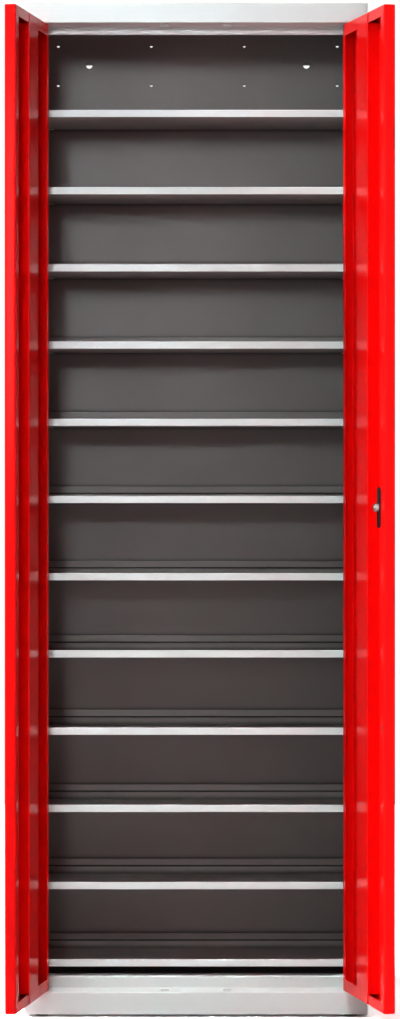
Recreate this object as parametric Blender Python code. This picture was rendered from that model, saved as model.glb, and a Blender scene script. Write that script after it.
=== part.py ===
"""Two-door steel tool cabinet with tray shelves, as separate sheet-metal pieces.

Metres, +Z up. The origin lies on the floor under the middle of the cabinet's body, and the doors face -Y.
The doors stand open, each on an empty that lies on its pivot axis.
"""

import math

import bmesh
import bpy
from mathutils import Matrix

# Body
HEIGHT = 1.950
WIDTH = 0.660
DEPTH = 0.330
SHEET = 0.001
FIT_GAP = 0.0003
BODY_LIFT = 0.006

# Side panels
STILE_WIDTH = 0.016
STILE_RETURN = 0.050
REAR_FLANGE = 0.015

# Header, base, roof and floor
HEADER_HEIGHT = 0.038
HEADER_LAP = 0.025
HEADER_STOP = 0.0165
STOP_HEM_HEIGHT = 0.0085
STOP_HEM_DEPTH = 0.004
BASE_HEIGHT = 0.0425
BASE_STOP = 0.0215
LEDGE_DEPTH = 0.058
SILL_DEPTH = 0.047
SILL_FLANGE = 0.012
ROOF_FLANGE = 0.020
FLOOR_LEVEL = 0.012

# Holes in the back panel, measured from the centre line and down from the top
SMALL_HOLE_RADIUS = 0.003
SMALL_HOLE_SPACING = 0.1875
SMALL_HOLES_PER_ROW = 4
SMALL_HOLE_DROP = 0.043
SMALL_HOLE_ROW_STEP = 0.079
SMALL_HOLE_ROWS = 2
WALL_HOLE_RADIUS = 0.0065
WALL_HOLE_OFFSET = 0.219
WALL_HOLE_DROP = 0.082

# Levelling feet
FOOT_INSET_SIDE = 0.032
FOOT_INSET_END = 0.030
FOOT_RADIUS = 0.0135
FOOT_PAD_HEIGHT = 0.005
FOOT_PAD_CHAMFER = 0.0015
FOOT_COLLAR_RADIUS = 0.0075
STUD_RADIUS = 0.004
STUD_REACH = 0.015
WELD_NUT_RADIUS = 0.009
WELD_NUT_HEIGHT = 0.008

# Uprights with lanced tabs
UPRIGHT_WIDTH = 0.025
UPRIGHT_DEPTH = 0.0235
UPRIGHT_INSET = 0.010
TAB_LENGTH = 0.016
TAB_WIDTH = 0.014
TAB_THICKNESS = 0.0015

# Shelves
SHELF_FIRST = 0.088
SHELF_PITCH = 0.150
SHELF_HEADROOM = 0.140
SHELF_SETBACK = 0.070
TRAY_SIDE_CLEARANCE = 0.002
TRAY_REAR_CLEARANCE = 0.004
TRAY_UPSTAND = 0.031
TRAY_HEM_HEIGHT = 0.0127
TRAY_HEM_DEPTH = 0.0035
TRAY_END_FLANGE = 0.008
TRIM_HEIGHT = 0.014
TRIM_RETURN = 0.005

# Doors, measured from the hinge edge
DOOR_THICKNESS = 0.022
DOOR_GAP_HINGE = 0.0075
DOOR_GAP_ENDS = 0.0014
DOOR_GAP_CENTRE = 0.003
DOOR_LEFT_OPEN = 98.4
DOOR_RIGHT_OPEN = 102.6
HINGE_LIP = 0.020
FREE_LIP = 0.024
END_LIP = 0.020
STIFFENER_START = 0.109
STIFFENER_WIDTH = 0.081
ARM_START = 0.022
ARM_HEIGHT = 0.0235
ARM_EDGE = 0.0015
PIVOT_INSET = 0.0105
PIVOT_RADIUS = 0.004
PIVOT_REACH = 0.008
PIVOT_COLLAR_RADIUS = 0.010
PIVOT_HEAD_RADIUS = 0.007
PIVOT_HEAD_HEIGHT = 0.002
STOP_OFFSET = 0.060
STOP_WIDTH = 0.017
STOP_DEPTH = 0.0115
STOP_HEIGHT = 0.003
STOP_CLEARANCE = 0.0005

# Lock on the right door
LOCK_HEIGHT = 0.983
LOCK_INSET = 0.030
BARREL_RADIUS = 0.009
BARREL_LENGTH = 0.017
BARREL_FLANGE_RADIUS = 0.0135
BARREL_FLANGE_THICKNESS = 0.0025
LOCK_NUT_RADIUS = 0.014
LOCK_NUT_THICKNESS = 0.005
PLUG_RADIUS = 0.006
PLUG_PROUD = 0.0005
KEYWAY_WIDTH = 0.0016
KEYWAY_HEIGHT = 0.008
KEYWAY_DEPTH = 0.006
SPINDLE_RADIUS = 0.004
SPINDLE_END = 0.0007
CAM_LENGTH = 0.076
CAM_WIDTH = 0.016
CAM_THICKNESS = 0.003
CAM_CLEARANCE = 0.0005
CAM_NUT_RADIUS = 0.008
CAM_NUT_LENGTH = 0.0075

# Facets of round shapes
ROUND_STEPS = 16
ARC_STEPS = 6
SMOOTH_ANGLE = 35.0

# Places that follow from the sizes
FRONT = -DEPTH / 2
BACK = DEPTH / 2
INSIDE_X = WIDTH / 2 - SHEET - FIT_GAP
BACK_PANEL_REAR = BACK - SHEET - FIT_GAP
BACK_PANEL_FRONT = BACK_PANEL_REAR - SHEET
HEADER_BOTTOM = HEIGHT - HEADER_HEIGHT
BASE_TOP = BODY_LIFT + BASE_HEIGHT
SILL_TOP = BASE_TOP + BASE_STOP
STOP_BOTTOM = HEADER_BOTTOM - HEADER_STOP
ROOF_TOP = HEIGHT - SHEET - FIT_GAP
STILE_INNER = WIDTH / 2 - STILE_WIDTH
UPRIGHT_FACE = INSIDE_X - UPRIGHT_DEPTH
UPRIGHT_TOP = STOP_BOTTOM - UPRIGHT_INSET
SHELF_COUNT = 1 + int((STOP_BOTTOM - SHELF_HEADROOM - SHELF_FIRST) / SHELF_PITCH)
SHELF_LEVELS = [SHELF_FIRST + SHELF_PITCH * number for number in range(SHELF_COUNT)]
TRAY_HALF = UPRIGHT_FACE - TRAY_SIDE_CLEARANCE
TRIM_FRONT = FRONT + SHELF_SETBACK
LIP_FRONT = TRIM_FRONT + SHEET + FIT_GAP
TRAY_REAR = BACK_PANEL_FRONT - TRAY_REAR_CLEARANCE
DOOR_OUTER = STILE_INNER - DOOR_GAP_HINGE
DOOR_WIDTH = DOOR_OUTER - DOOR_GAP_CENTRE / 2
DOOR_BOTTOM = BASE_TOP + DOOR_GAP_ENDS
DOOR_TOP = HEADER_BOTTOM - DOOR_GAP_ENDS
PIVOT_X = DOOR_OUTER - PIVOT_INSET
PIVOT_Y = FRONT + DOOR_THICKNESS / 2
SKIN = -DOOR_THICKNESS / 2
LIP_PLANE = DOOR_THICKNESS / 2
STIFFENER_END = STIFFENER_START + STIFFENER_WIDTH
LOCK_FROM_HINGE = DOOR_WIDTH - LOCK_INSET
PIVOT_HOLE_RADIUS = PIVOT_RADIUS + FIT_GAP
CAM_FACE = LIP_PLANE + CAM_CLEARANCE
CAM_NUT_FACE = CAM_FACE + CAM_THICKNESS + FIT_GAP

SIDES = {"left": -1, "right": 1}

# Finish name: colour, roughness, metallic
FINISHES = {
    "grey_paint": ((0.78, 0.78, 0.77), 0.40, 0.0),
    "dark_paint": ((0.16, 0.15, 0.145), 0.50, 0.0),
    "red_paint": ((0.85, 0.006, 0.006), 0.25, 0.0),
    "black_plastic": ((0.02, 0.02, 0.02), 0.55, 0.0),
    "black_steel": ((0.03, 0.03, 0.03), 0.40, 0.6),
    "zinc_steel": ((0.62, 0.62, 0.60), 0.30, 1.0),
}


def clear_scene():
    """Remove every object of the scene."""
    for old in list(bpy.data.objects):
        bpy.data.objects.remove(old, do_unlink=True)


def finish(name):
    """The material of a finish, made once."""
    material = bpy.data.materials.get(name)
    if material:
        return material
    colour, roughness, metallic = FINISHES[name]
    material = bpy.data.materials.new(name)
    material.use_nodes = True
    shader = material.node_tree.nodes["Principled BSDF"]
    shader.inputs["Base Color"].default_value = (*colour, 1.0)
    shader.inputs["Roughness"].default_value = roughness
    shader.inputs["Metallic"].default_value = metallic
    return material


def mesh_of(bm):
    """The mesh of a bmesh, with its faces pointing out."""
    bmesh.ops.recalc_face_normals(bm, faces=bm.faces)
    mesh = bpy.data.meshes.new("shape")
    bm.to_mesh(mesh)
    bm.free()
    return mesh


def prism(outline, axis, low, high):
    """An outline in the plane across an axis, extruded along that axis from low to high."""
    spread = {
        "X": lambda first, second: (low, first, second),
        "Y": lambda first, second: (first, low, second),
        "Z": lambda first, second: (first, second, low),
    }[axis]
    along = {"X": (1, 0, 0), "Y": (0, 1, 0), "Z": (0, 0, 1)}[axis]
    bm = bmesh.new()
    face = bm.faces.new([bm.verts.new(spread(*point)) for point in outline])
    grown = bmesh.ops.extrude_face_region(bm, geom=[face])["geom"]
    tips = [item for item in grown if isinstance(item, bmesh.types.BMVert)]
    bmesh.ops.translate(bm, verts=tips, vec=[step * (high - low) for step in along])
    return mesh_of(bm)


def block(across, along, up):
    """A rectangular block from its low and high values on X, Y and Z."""
    outline = [(across[0], along[0]), (across[1], along[0]), (across[1], along[1]), (across[0], along[1])]
    return prism(outline, "Z", up[0], up[1])


def turned(profile, turn=None):
    """A profile of (radius, height) points, closed at its ends on the axis, turned round Z and then placed."""
    bm = bmesh.new()
    points = [bm.verts.new((radius, 0.0, height)) for radius, height in profile]
    edges = [bm.edges.new(pair) for pair in zip(points, points[1:])]
    bmesh.ops.spin(
        bm,
        geom=points + edges,
        cent=(0, 0, 0),
        axis=(0, 0, 1),
        angle=2 * math.pi,
        steps=ROUND_STEPS,
        use_merge=True,
    )
    bmesh.ops.remove_doubles(bm, verts=bm.verts, dist=1e-6)
    if turn:
        bmesh.ops.transform(bm, matrix=turn, verts=bm.verts)
    return mesh_of(bm)


def drum(radius, low, high, turn=None):
    """A plain round bar between two heights."""
    return turned([(0, low), (radius, low), (radius, high), (0, high)], turn)


def polygon(radius, corners):
    """The corners of a regular polygon round the origin."""
    turns = [2 * math.pi * corner / corners for corner in range(corners)]
    return [(radius * math.cos(turn), radius * math.sin(turn)) for turn in turns]


def bar_outline(width, length):
    """An upright bar with round ends, centred on the origin."""
    straight = (length - width) / 2
    upper = [math.pi * step / ARC_STEPS for step in range(ARC_STEPS + 1)]
    lower = [math.pi + turn for turn in upper]
    top = [(width / 2 * math.cos(turn), straight + width / 2 * math.sin(turn)) for turn in upper]
    bottom = [(width / 2 * math.cos(turn), -straight + width / 2 * math.sin(turn)) for turn in lower]
    return top + bottom


def folded(path, thickness):
    """The outline of a bent sheet: one face along path, the other to its left, or right if negative."""
    normals = []
    for start, end in zip(path, path[1:]):
        run = (end[0] - start[0], end[1] - start[1])
        length = math.hypot(*run)
        normals.append((-run[1] / length, run[0] / length))
    other = []
    for point, before, after in zip(path, normals[:1] + normals, normals + normals[-1:]):
        reach = thickness / (1 + before[0] * after[0] + before[1] * after[1])
        other.append((point[0] + reach * (before[0] + after[0]), point[1] + reach * (before[1] + after[1])))
    return list(path) + other[::-1]


def joined(meshes):
    """Several closed meshes as one mesh of separate bodies."""
    bm = bmesh.new()
    for mesh in meshes:
        bm.from_mesh(mesh)
    return mesh_of(bm)


def shaped(base, *steps):
    """A mesh after Boolean steps, each an operation and a tool mesh."""
    holder = bpy.data.objects.new("holder", base)
    tools = []
    for operation, tool_mesh in steps:
        tool = bpy.data.objects.new("tool", tool_mesh)
        modifier = holder.modifiers.new(operation.lower(), "BOOLEAN")
        modifier.operation = operation
        modifier.object = tool
        tools.append(tool)
    for helper in [holder, *tools]:
        bpy.context.scene.collection.objects.link(helper)
    bpy.context.view_layer.update()
    graph = bpy.context.evaluated_depsgraph_get()
    mesh = bpy.data.meshes.new_from_object(holder.evaluated_get(graph))
    for helper in [holder, *tools]:
        bpy.data.objects.remove(helper, do_unlink=True)
    return mesh


def add_piece(name, mesh, finish_name, parent=None, place=(0, 0, 0), smooth=False):
    """A named object with its finish, at a place under its parent."""
    mesh = mesh.copy()
    mesh.name = name
    mesh.materials.clear()
    mesh.materials.append(finish(finish_name))
    if smooth:
        mesh.shade_smooth()
        mesh.set_sharp_from_angle(angle=math.radians(SMOOTH_ANGLE))
    piece = bpy.data.objects.new(name, mesh)
    bpy.context.scene.collection.objects.link(piece)
    piece.parent = parent
    piece.location = place
    return piece


def add_axis(name, place, angle=0.0, parent=None):
    """An empty on a joint's axis, turned about Z."""
    axis = bpy.data.objects.new(name, None)
    bpy.context.scene.collection.objects.link(axis)
    axis.parent = parent
    axis.location = place
    axis.rotation_euler = (0, 0, math.radians(angle))
    return axis


def build_side_panels():
    """Outer sheets with a rear flange, and a front stile that stops at the header and the base."""
    for name, side in SIDES.items():
        outer = side * WIDTH / 2
        sheet_path = [(outer, FRONT + FIT_GAP), (outer, BACK), (outer - side * REAR_FLANGE, BACK)]
        sheet = prism(folded(sheet_path, side * SHEET), "Z", BODY_LIFT, HEIGHT)
        inner = side * STILE_INNER
        stile_path = [(outer - side * SHEET / 2, FRONT), (inner, FRONT), (inner, FRONT + STILE_RETURN)]
        stile_outline = folded(stile_path, -side * SHEET)
        stile = prism(stile_outline, "Z", BASE_TOP + FIT_GAP, HEADER_BOTTOM - FIT_GAP)
        add_piece(f"side_panel_{name}", shaped(sheet, ("UNION", stile)), "grey_paint")


def build_back_panel():
    """The dark rear sheet, with two rows of small holes and two holes for wall fixings."""
    sheet = block((-INSIDE_X, INSIDE_X), (BACK_PANEL_FRONT, BACK_PANEL_REAR), (BODY_LIFT, ROOF_TOP))
    middle = (SMALL_HOLES_PER_ROW - 1) / 2
    holes = []
    for row in range(SMALL_HOLE_ROWS):
        level = HEIGHT - SMALL_HOLE_DROP - SMALL_HOLE_ROW_STEP * row
        for column in range(SMALL_HOLES_PER_ROW):
            holes.append((SMALL_HOLE_RADIUS, SMALL_HOLE_SPACING * (column - middle), level))
    for side in SIDES.values():
        holes.append((WALL_HOLE_RADIUS, side * WALL_HOLE_OFFSET, HEIGHT - WALL_HOLE_DROP))
    drills = [through_back(*hole) for hole in holes]
    add_piece("back_panel", shaped(sheet, ("DIFFERENCE", joined(drills))), "dark_paint")


def through_back(radius, across, level):
    """A round bar that crosses the back panel."""
    place = Matrix.Translation((across, BACK_PANEL_FRONT, level)) @ Matrix.Rotation(math.pi / 2, 4, "X")
    return drum(radius, -3 * SHEET, 3 * SHEET, place)


def pivot_drills(level):
    """Upright bars at both door pivots that cross a sheet at a level."""
    return joined(
        drum(PIVOT_HOLE_RADIUS, level - PIVOT_REACH, level + PIVOT_REACH, Matrix.Translation(place))
        for place in [(side * PIVOT_X, PIVOT_Y, 0) for side in SIDES.values()]
    )


def build_header_and_roof():
    """The header with its ledge and hemmed stop strip, and the roof sheet that laps under it."""
    stop = FRONT + LEDGE_DEPTH
    path = [
        (FRONT + HEADER_LAP, HEIGHT),
        (FRONT, HEIGHT),
        (FRONT, HEADER_BOTTOM),
        (stop, HEADER_BOTTOM),
        (stop, STOP_BOTTOM + SHEET),
        (stop - STOP_HEM_DEPTH, STOP_BOTTOM + SHEET),
        (stop - STOP_HEM_DEPTH, STOP_BOTTOM + STOP_HEM_HEIGHT),
    ]
    header = prism(folded(path, SHEET), "X", -INSIDE_X, INSIDE_X)
    add_piece("header_rail", shaped(header, ("DIFFERENCE", pivot_drills(HEADER_BOTTOM))), "grey_paint")
    skirt = ROOF_TOP - ROOF_FLANGE
    roof_path = [(-INSIDE_X, skirt), (-INSIDE_X, ROOF_TOP), (INSIDE_X, ROOF_TOP), (INSIDE_X, skirt)]
    roof = prism(folded(roof_path, -SHEET), "Y", FRONT + SHEET + FIT_GAP, BACK_PANEL_FRONT - FIT_GAP)
    add_piece("roof_panel", roof, "grey_paint")


def foot_places():
    """Name and place of each levelling foot."""
    ends = {"front": FRONT + FOOT_INSET_END, "rear": BACK - FOOT_INSET_END}
    return {
        f"foot_{end}_{name}": (side * (WIDTH / 2 - FOOT_INSET_SIDE), along, 0)
        for end, along in ends.items()
        for name, side in SIDES.items()
    }


def build_base_and_floor():
    """The base rail with ledge, riser and sill, and the floor sheet with a welded nut over each foot."""
    riser = FRONT + LEDGE_DEPTH
    path = [
        (FRONT, BODY_LIFT),
        (FRONT, BASE_TOP),
        (riser, BASE_TOP),
        (riser, SILL_TOP),
        (riser + SILL_DEPTH, SILL_TOP),
        (riser + SILL_DEPTH, SILL_TOP - SILL_FLANGE),
    ]
    base = prism(folded(path, -SHEET), "X", -INSIDE_X, INSIDE_X)
    add_piece("base_rail", shaped(base, ("DIFFERENCE", pivot_drills(BASE_TOP))), "grey_paint")
    floor_depth = (FRONT + SHEET + FIT_GAP, BACK_PANEL_FRONT - FIT_GAP)
    floor = block((-INSIDE_X, INSIDE_X), floor_depth, (FLOOR_LEVEL, FLOOR_LEVEL + SHEET))
    nut_top = FLOOR_LEVEL + SHEET + WELD_NUT_HEIGHT
    spots = [Matrix.Translation(place) for place in foot_places().values()]
    nuts = joined(drum(WELD_NUT_RADIUS, FLOOR_LEVEL + SHEET / 2, nut_top, spot) for spot in spots)
    threads = joined(drum(STUD_RADIUS + FIT_GAP, 0, nut_top + SHEET, spot) for spot in spots)
    add_piece("floor_panel", shaped(floor, ("UNION", nuts), ("DIFFERENCE", threads)), "dark_paint")


def build_feet():
    """Levelling feet: a pad, a collar that stops under the floor sheet, and a stud through its nut."""
    collar_top = FLOOR_LEVEL - FIT_GAP
    stud_top = FLOOR_LEVEL + STUD_REACH
    profile = [
        (0, 0),
        (FOOT_RADIUS, 0),
        (FOOT_RADIUS, FOOT_PAD_HEIGHT - FOOT_PAD_CHAMFER),
        (FOOT_RADIUS - FOOT_PAD_CHAMFER, FOOT_PAD_HEIGHT),
        (FOOT_COLLAR_RADIUS, FOOT_PAD_HEIGHT),
        (FOOT_COLLAR_RADIUS, collar_top),
        (STUD_RADIUS, collar_top),
        (STUD_RADIUS, stud_top),
        (0, stud_top),
    ]
    foot = turned(profile)
    for name, place in foot_places().items():
        add_piece(name, foot, "black_plastic", place=place, smooth=True)


def build_uprights():
    """Channels on the side panels, with a tab lanced out of the face under each shelf."""
    starts = {
        "front": TRIM_FRONT + UPRIGHT_INSET,
        "rear": BACK_PANEL_FRONT - UPRIGHT_INSET - UPRIGHT_WIDTH,
    }
    for end, start in starts.items():
        for name, side in SIDES.items():
            add_piece(f"upright_{end}_{name}", upright_mesh(side, start), "grey_paint")


def upright_mesh(side, start):
    """One channel with its tabs, each folded out of the window above it."""
    wall, face = side * INSIDE_X, side * UPRIGHT_FACE
    end = start + UPRIGHT_WIDTH
    outline = folded([(wall, start), (face, start), (face, end), (wall, end)], -side * SHEET)
    channel = prism(outline, "Z", SILL_TOP + FIT_GAP, UPRIGHT_TOP)
    middle = start + UPRIGHT_WIDTH / 2
    tab_span = (middle - TAB_WIDTH / 2, middle + TAB_WIDTH / 2)
    window_span = (tab_span[0] - SHEET, tab_span[1] + SHEET)
    tab_reach = sorted((face + side * SHEET / 2, face - side * TAB_LENGTH))
    window_reach = sorted((face - side * SHEET, face + side * 2 * SHEET))
    tops = [level - FIT_GAP for level in SHELF_LEVELS]
    windows = joined(block(window_reach, window_span, (top + SHEET, top + TAB_LENGTH)) for top in tops)
    tabs = joined(block(tab_reach, tab_span, (top - TAB_THICKNESS, top)) for top in tops)
    return shaped(channel, ("DIFFERENCE", windows), ("UNION", tabs))


def tray_mesh():
    """A tray at level zero: front lip, floor, rear upstand with a forward hem, and low end flanges."""
    hem = TRAY_REAR - TRAY_HEM_DEPTH
    path = [
        (LIP_FRONT, TRIM_HEIGHT - SHEET - FIT_GAP),
        (LIP_FRONT, 0),
        (TRAY_REAR, 0),
        (TRAY_REAR, TRAY_UPSTAND),
        (hem, TRAY_UPSTAND),
        (hem, TRAY_UPSTAND - TRAY_HEM_HEIGHT),
    ]
    pan = prism(folded(path, SHEET), "X", -TRAY_HALF, TRAY_HALF)
    run = (LIP_FRONT + SHEET / 2, TRAY_REAR - SHEET / 2)
    edge = TRAY_HALF - FIT_GAP
    ends = joined(
        block(sorted((side * edge, side * (edge - SHEET))), run, (SHEET / 2, TRAY_END_FLANGE))
        for side in SIDES.values()
    )
    return shaped(pan, ("UNION", ends))


def trim_mesh():
    """A strip at level zero that caps a tray's front lip."""
    rear = LIP_FRONT + SHEET + FIT_GAP + SHEET
    path = [
        (TRIM_FRONT, 0),
        (TRIM_FRONT, TRIM_HEIGHT),
        (rear, TRIM_HEIGHT),
        (rear, TRIM_HEIGHT - TRIM_RETURN),
    ]
    return prism(folded(path, -SHEET), "X", -TRAY_HALF, TRAY_HALF)


def build_shelves():
    """Trays on the tabs of the uprights, each with its front strip."""
    tray = tray_mesh()
    trim = trim_mesh()
    for number, level in enumerate(SHELF_LEVELS, start=1):
        add_piece(f"shelf_tray_{number:02d}", tray, "dark_paint", place=(0, 0, level))
        add_piece(f"shelf_trim_{number:02d}", trim, "grey_paint", place=(0, 0, level))


def build_door_stops():
    """Small blocks behind the closed doors, two on the base ledge and two under the header."""
    depth = (FRONT + DOOR_THICKNESS + STOP_CLEARANCE, FRONT + DOOR_THICKNESS + STOP_CLEARANCE + STOP_DEPTH)
    heights = {
        "lower": (BASE_TOP + FIT_GAP, BASE_TOP + FIT_GAP + STOP_HEIGHT),
        "upper": (HEADER_BOTTOM - FIT_GAP - STOP_HEIGHT, HEADER_BOTTOM - FIT_GAP),
    }
    for end, height in heights.items():
        for name, side in SIDES.items():
            span = (side * STOP_OFFSET - STOP_WIDTH / 2, side * STOP_OFFSET + STOP_WIDTH / 2)
            add_piece(f"door_stop_{end}_{name}", block(span, depth, height), "grey_paint")


def build_door(name, side, angle):
    """One door on its pivot axis: pan, stiffener and pivots, modelled closed and turned open."""
    axis = add_axis(f"door_{name}_axis", (side * PIVOT_X, PIVOT_Y, 0), side * angle)
    add_piece(f"door_{name}_pan", pan_mesh(side), "red_paint", axis)
    add_piece(f"door_{name}_stiffener", stiffener_mesh(side), "red_paint", axis)
    add_piece(f"door_{name}_pivot_lower", pivot_mesh(False), "black_steel", axis, smooth=True)
    add_piece(f"door_{name}_pivot_upper", pivot_mesh(True), "black_steel", axis, smooth=True)
    return axis


def span(side, first, second):
    """Low and high X, from the pivot, of two distances from a door's hinge edge."""
    return sorted(-side * (distance - PIVOT_INSET) for distance in (first, second))


def pan_mesh(side):
    """A folded pan: skin, walls and lips, holed for its pivots and, on the right, for the lock."""
    outer = block(span(side, 0, DOOR_WIDTH), (SKIN, LIP_PLANE), (DOOR_BOTTOM, DOOR_TOP))
    hollow = block(
        span(side, SHEET, DOOR_WIDTH - SHEET),
        (SKIN + SHEET, LIP_PLANE - SHEET),
        (DOOR_BOTTOM + SHEET, DOOR_TOP - SHEET),
    )
    mouth = block(
        span(side, HINGE_LIP, DOOR_WIDTH - FREE_LIP),
        (LIP_PLANE - 2 * SHEET, LIP_PLANE + SHEET),
        (DOOR_BOTTOM + END_LIP, DOOR_TOP - END_LIP),
    )
    pivot_holes = joined(
        drum(PIVOT_HOLE_RADIUS, level - 2 * SHEET, level + 2 * SHEET) for level in (DOOR_BOTTOM, DOOR_TOP)
    )
    steps = [("DIFFERENCE", hollow), ("DIFFERENCE", mouth), ("DIFFERENCE", pivot_holes)]
    if side == SIDES["right"]:
        place = lock_place() @ Matrix.Translation((0, SKIN, 0)) @ Matrix.Rotation(math.pi / 2, 4, "X")
        steps.append(("DIFFERENCE", drum(BARREL_RADIUS + FIT_GAP, -2 * SHEET, 2 * SHEET, place)))
    return shaped(outer, *steps)


def stiffener_mesh(side):
    """A channel down the door's inside, with an arm to the hinge side at its top and bottom."""
    face = (LIP_PLANE + FIT_GAP, LIP_PLANE + FIT_GAP + SHEET)
    low, high = DOOR_BOTTOM + ARM_EDGE, DOOR_TOP - ARM_EDGE
    arm_low, arm_high = DOOR_BOTTOM + ARM_HEIGHT, DOOR_TOP - ARM_HEIGHT
    shape = [
        (ARM_START, low),
        (STIFFENER_END, low),
        (STIFFENER_END, high),
        (ARM_START, high),
        (ARM_START, arm_high),
        (STIFFENER_START, arm_high),
        (STIFFENER_START, arm_low),
        (ARM_START, arm_low),
    ]
    plate = prism([(-side * (distance - PIVOT_INSET), level) for distance, level in shape], "Y", *face)
    inset = FIT_GAP
    wall_height = (DOOR_BOTTOM + END_LIP + inset, DOOR_TOP - END_LIP - inset)
    wall_depth = (SKIN + SHEET + FIT_GAP, face[0] + SHEET / 2)
    starts = (STIFFENER_START + inset, STIFFENER_END - inset - SHEET)
    walls = joined(block(span(side, start, start + SHEET), wall_depth, wall_height) for start in starts)
    return shaped(plate, ("UNION", walls))


def pivot_mesh(upper):
    """A riveted pivot: pin into the frame, collar in the gap, shank through the pan and head inside it."""
    head_low = DOOR_BOTTOM + SHEET + FIT_GAP
    profile = [
        (0, BASE_TOP - PIVOT_REACH),
        (PIVOT_RADIUS, BASE_TOP - PIVOT_REACH),
        (PIVOT_RADIUS, BASE_TOP + FIT_GAP),
        (PIVOT_COLLAR_RADIUS, BASE_TOP + FIT_GAP),
        (PIVOT_COLLAR_RADIUS, DOOR_BOTTOM - FIT_GAP),
        (PIVOT_RADIUS, DOOR_BOTTOM - FIT_GAP),
        (PIVOT_RADIUS, head_low),
        (PIVOT_HEAD_RADIUS, head_low),
        (PIVOT_HEAD_RADIUS, head_low + PIVOT_HEAD_HEIGHT),
        (0, head_low + PIVOT_HEAD_HEIGHT),
    ]
    if upper:
        profile = [(radius, DOOR_BOTTOM + DOOR_TOP - level) for radius, level in profile]
    return turned(profile)


def lock_place():
    """The lock's place under the right door's axis, its Y along the lock's spindle."""
    return Matrix.Translation((-(LOCK_FROM_HINGE - PIVOT_INSET), 0, LOCK_HEIGHT))


def spindle_turned(profile):
    """A profile of (radius, depth) points turned about the lock's spindle."""
    return turned(profile, Matrix.Rotation(-math.pi / 2, 4, "X"))


def spindle_drum(radius, low, high):
    """A plain round bar on the lock's spindle between two depths."""
    return spindle_turned([(0, low), (radius, low), (radius, high), (0, high)])


def build_lock(door_axis):
    """Barrel and nut fixed in the door; key plug, cam and cam nut on the turning spindle."""
    place = lock_place().to_translation()
    flange_face = SKIN - FIT_GAP - BARREL_FLANGE_THICKNESS
    barrel_end = SKIN + BARREL_LENGTH
    barrel = spindle_turned(
        [(0, flange_face), (BARREL_FLANGE_RADIUS, flange_face), (BARREL_FLANGE_RADIUS, SKIN - FIT_GAP)]
        + [(BARREL_RADIUS, SKIN - FIT_GAP), (BARREL_RADIUS, barrel_end), (0, barrel_end)]
    )
    barrel_bore = spindle_drum(PLUG_RADIUS + FIT_GAP, flange_face - SHEET, barrel_end + SHEET)
    add_piece("lock_barrel", shaped(barrel, ("DIFFERENCE", barrel_bore)), "zinc_steel", door_axis, place, True)
    nut_face = SKIN + SHEET + FIT_GAP
    nut_end = nut_face + LOCK_NUT_THICKNESS
    nut = prism(polygon(LOCK_NUT_RADIUS, 6), "Y", nut_face, nut_end)
    nut_hole = spindle_drum(BARREL_RADIUS + FIT_GAP, nut_face - SHEET, nut_end + SHEET)
    add_piece("lock_nut", shaped(nut, ("DIFFERENCE", nut_hole)), "zinc_steel", door_axis, place)
    axis = add_axis("lock_axis", place, parent=door_axis)
    plug_face = flange_face - PLUG_PROUD
    plug_end = barrel_end + FIT_GAP
    spindle_end = CAM_NUT_FACE + CAM_NUT_LENGTH + SPINDLE_END
    plug = spindle_turned(
        [(0, plug_face), (PLUG_RADIUS, plug_face), (PLUG_RADIUS, plug_end), (SPINDLE_RADIUS, plug_end)]
        + [(SPINDLE_RADIUS, spindle_end), (0, spindle_end)]
    )
    keyway = block(
        (-KEYWAY_WIDTH / 2, KEYWAY_WIDTH / 2),
        (plug_face - SHEET, plug_face + KEYWAY_DEPTH),
        (-KEYWAY_HEIGHT / 2, KEYWAY_HEIGHT / 2),
    )
    add_piece("lock_plug", shaped(plug, ("DIFFERENCE", keyway)), "zinc_steel", axis, smooth=True)
    spindle_bore = spindle_drum(SPINDLE_RADIUS + FIT_GAP, CAM_FACE - SHEET, spindle_end + SHEET)
    cam = prism(bar_outline(CAM_WIDTH, CAM_LENGTH), "Y", CAM_FACE, CAM_FACE + CAM_THICKNESS)
    add_piece("lock_cam", shaped(cam, ("DIFFERENCE", spindle_bore)), "black_steel", axis)
    cam_nut = spindle_drum(CAM_NUT_RADIUS, CAM_NUT_FACE, CAM_NUT_FACE + CAM_NUT_LENGTH)
    add_piece("lock_cam_nut", shaped(cam_nut, ("DIFFERENCE", spindle_bore)), "zinc_steel", axis, smooth=True)


def build_cabinet():
    """Every piece of the cabinet."""
    clear_scene()
    build_side_panels()
    build_back_panel()
    build_header_and_roof()
    build_base_and_floor()
    build_feet()
    build_uprights()
    build_shelves()
    build_door_stops()
    build_door("left", SIDES["left"], DOOR_LEFT_OPEN)
    right_axis = build_door("right", SIDES["right"], DOOR_RIGHT_OPEN)
    build_lock(right_axis)


build_cabinet()
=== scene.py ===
"""Looks of a two-door steel tool cabinet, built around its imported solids.

Each sheet-metal piece is folded again here with round bends, takes a procedural finish and rides on its
body. A plain studio with a pale floor, soft lamps and the photograph's camera surrounds the cabinet.
All lengths are in metres, +Z is up and the doors face -Y.
"""

import logging
import math
from dataclasses import dataclass, replace
from enum import Enum
from typing import Iterable, Optional, Sequence, Union

import bmesh
import bpy
from mathutils import Matrix, Vector


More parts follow.
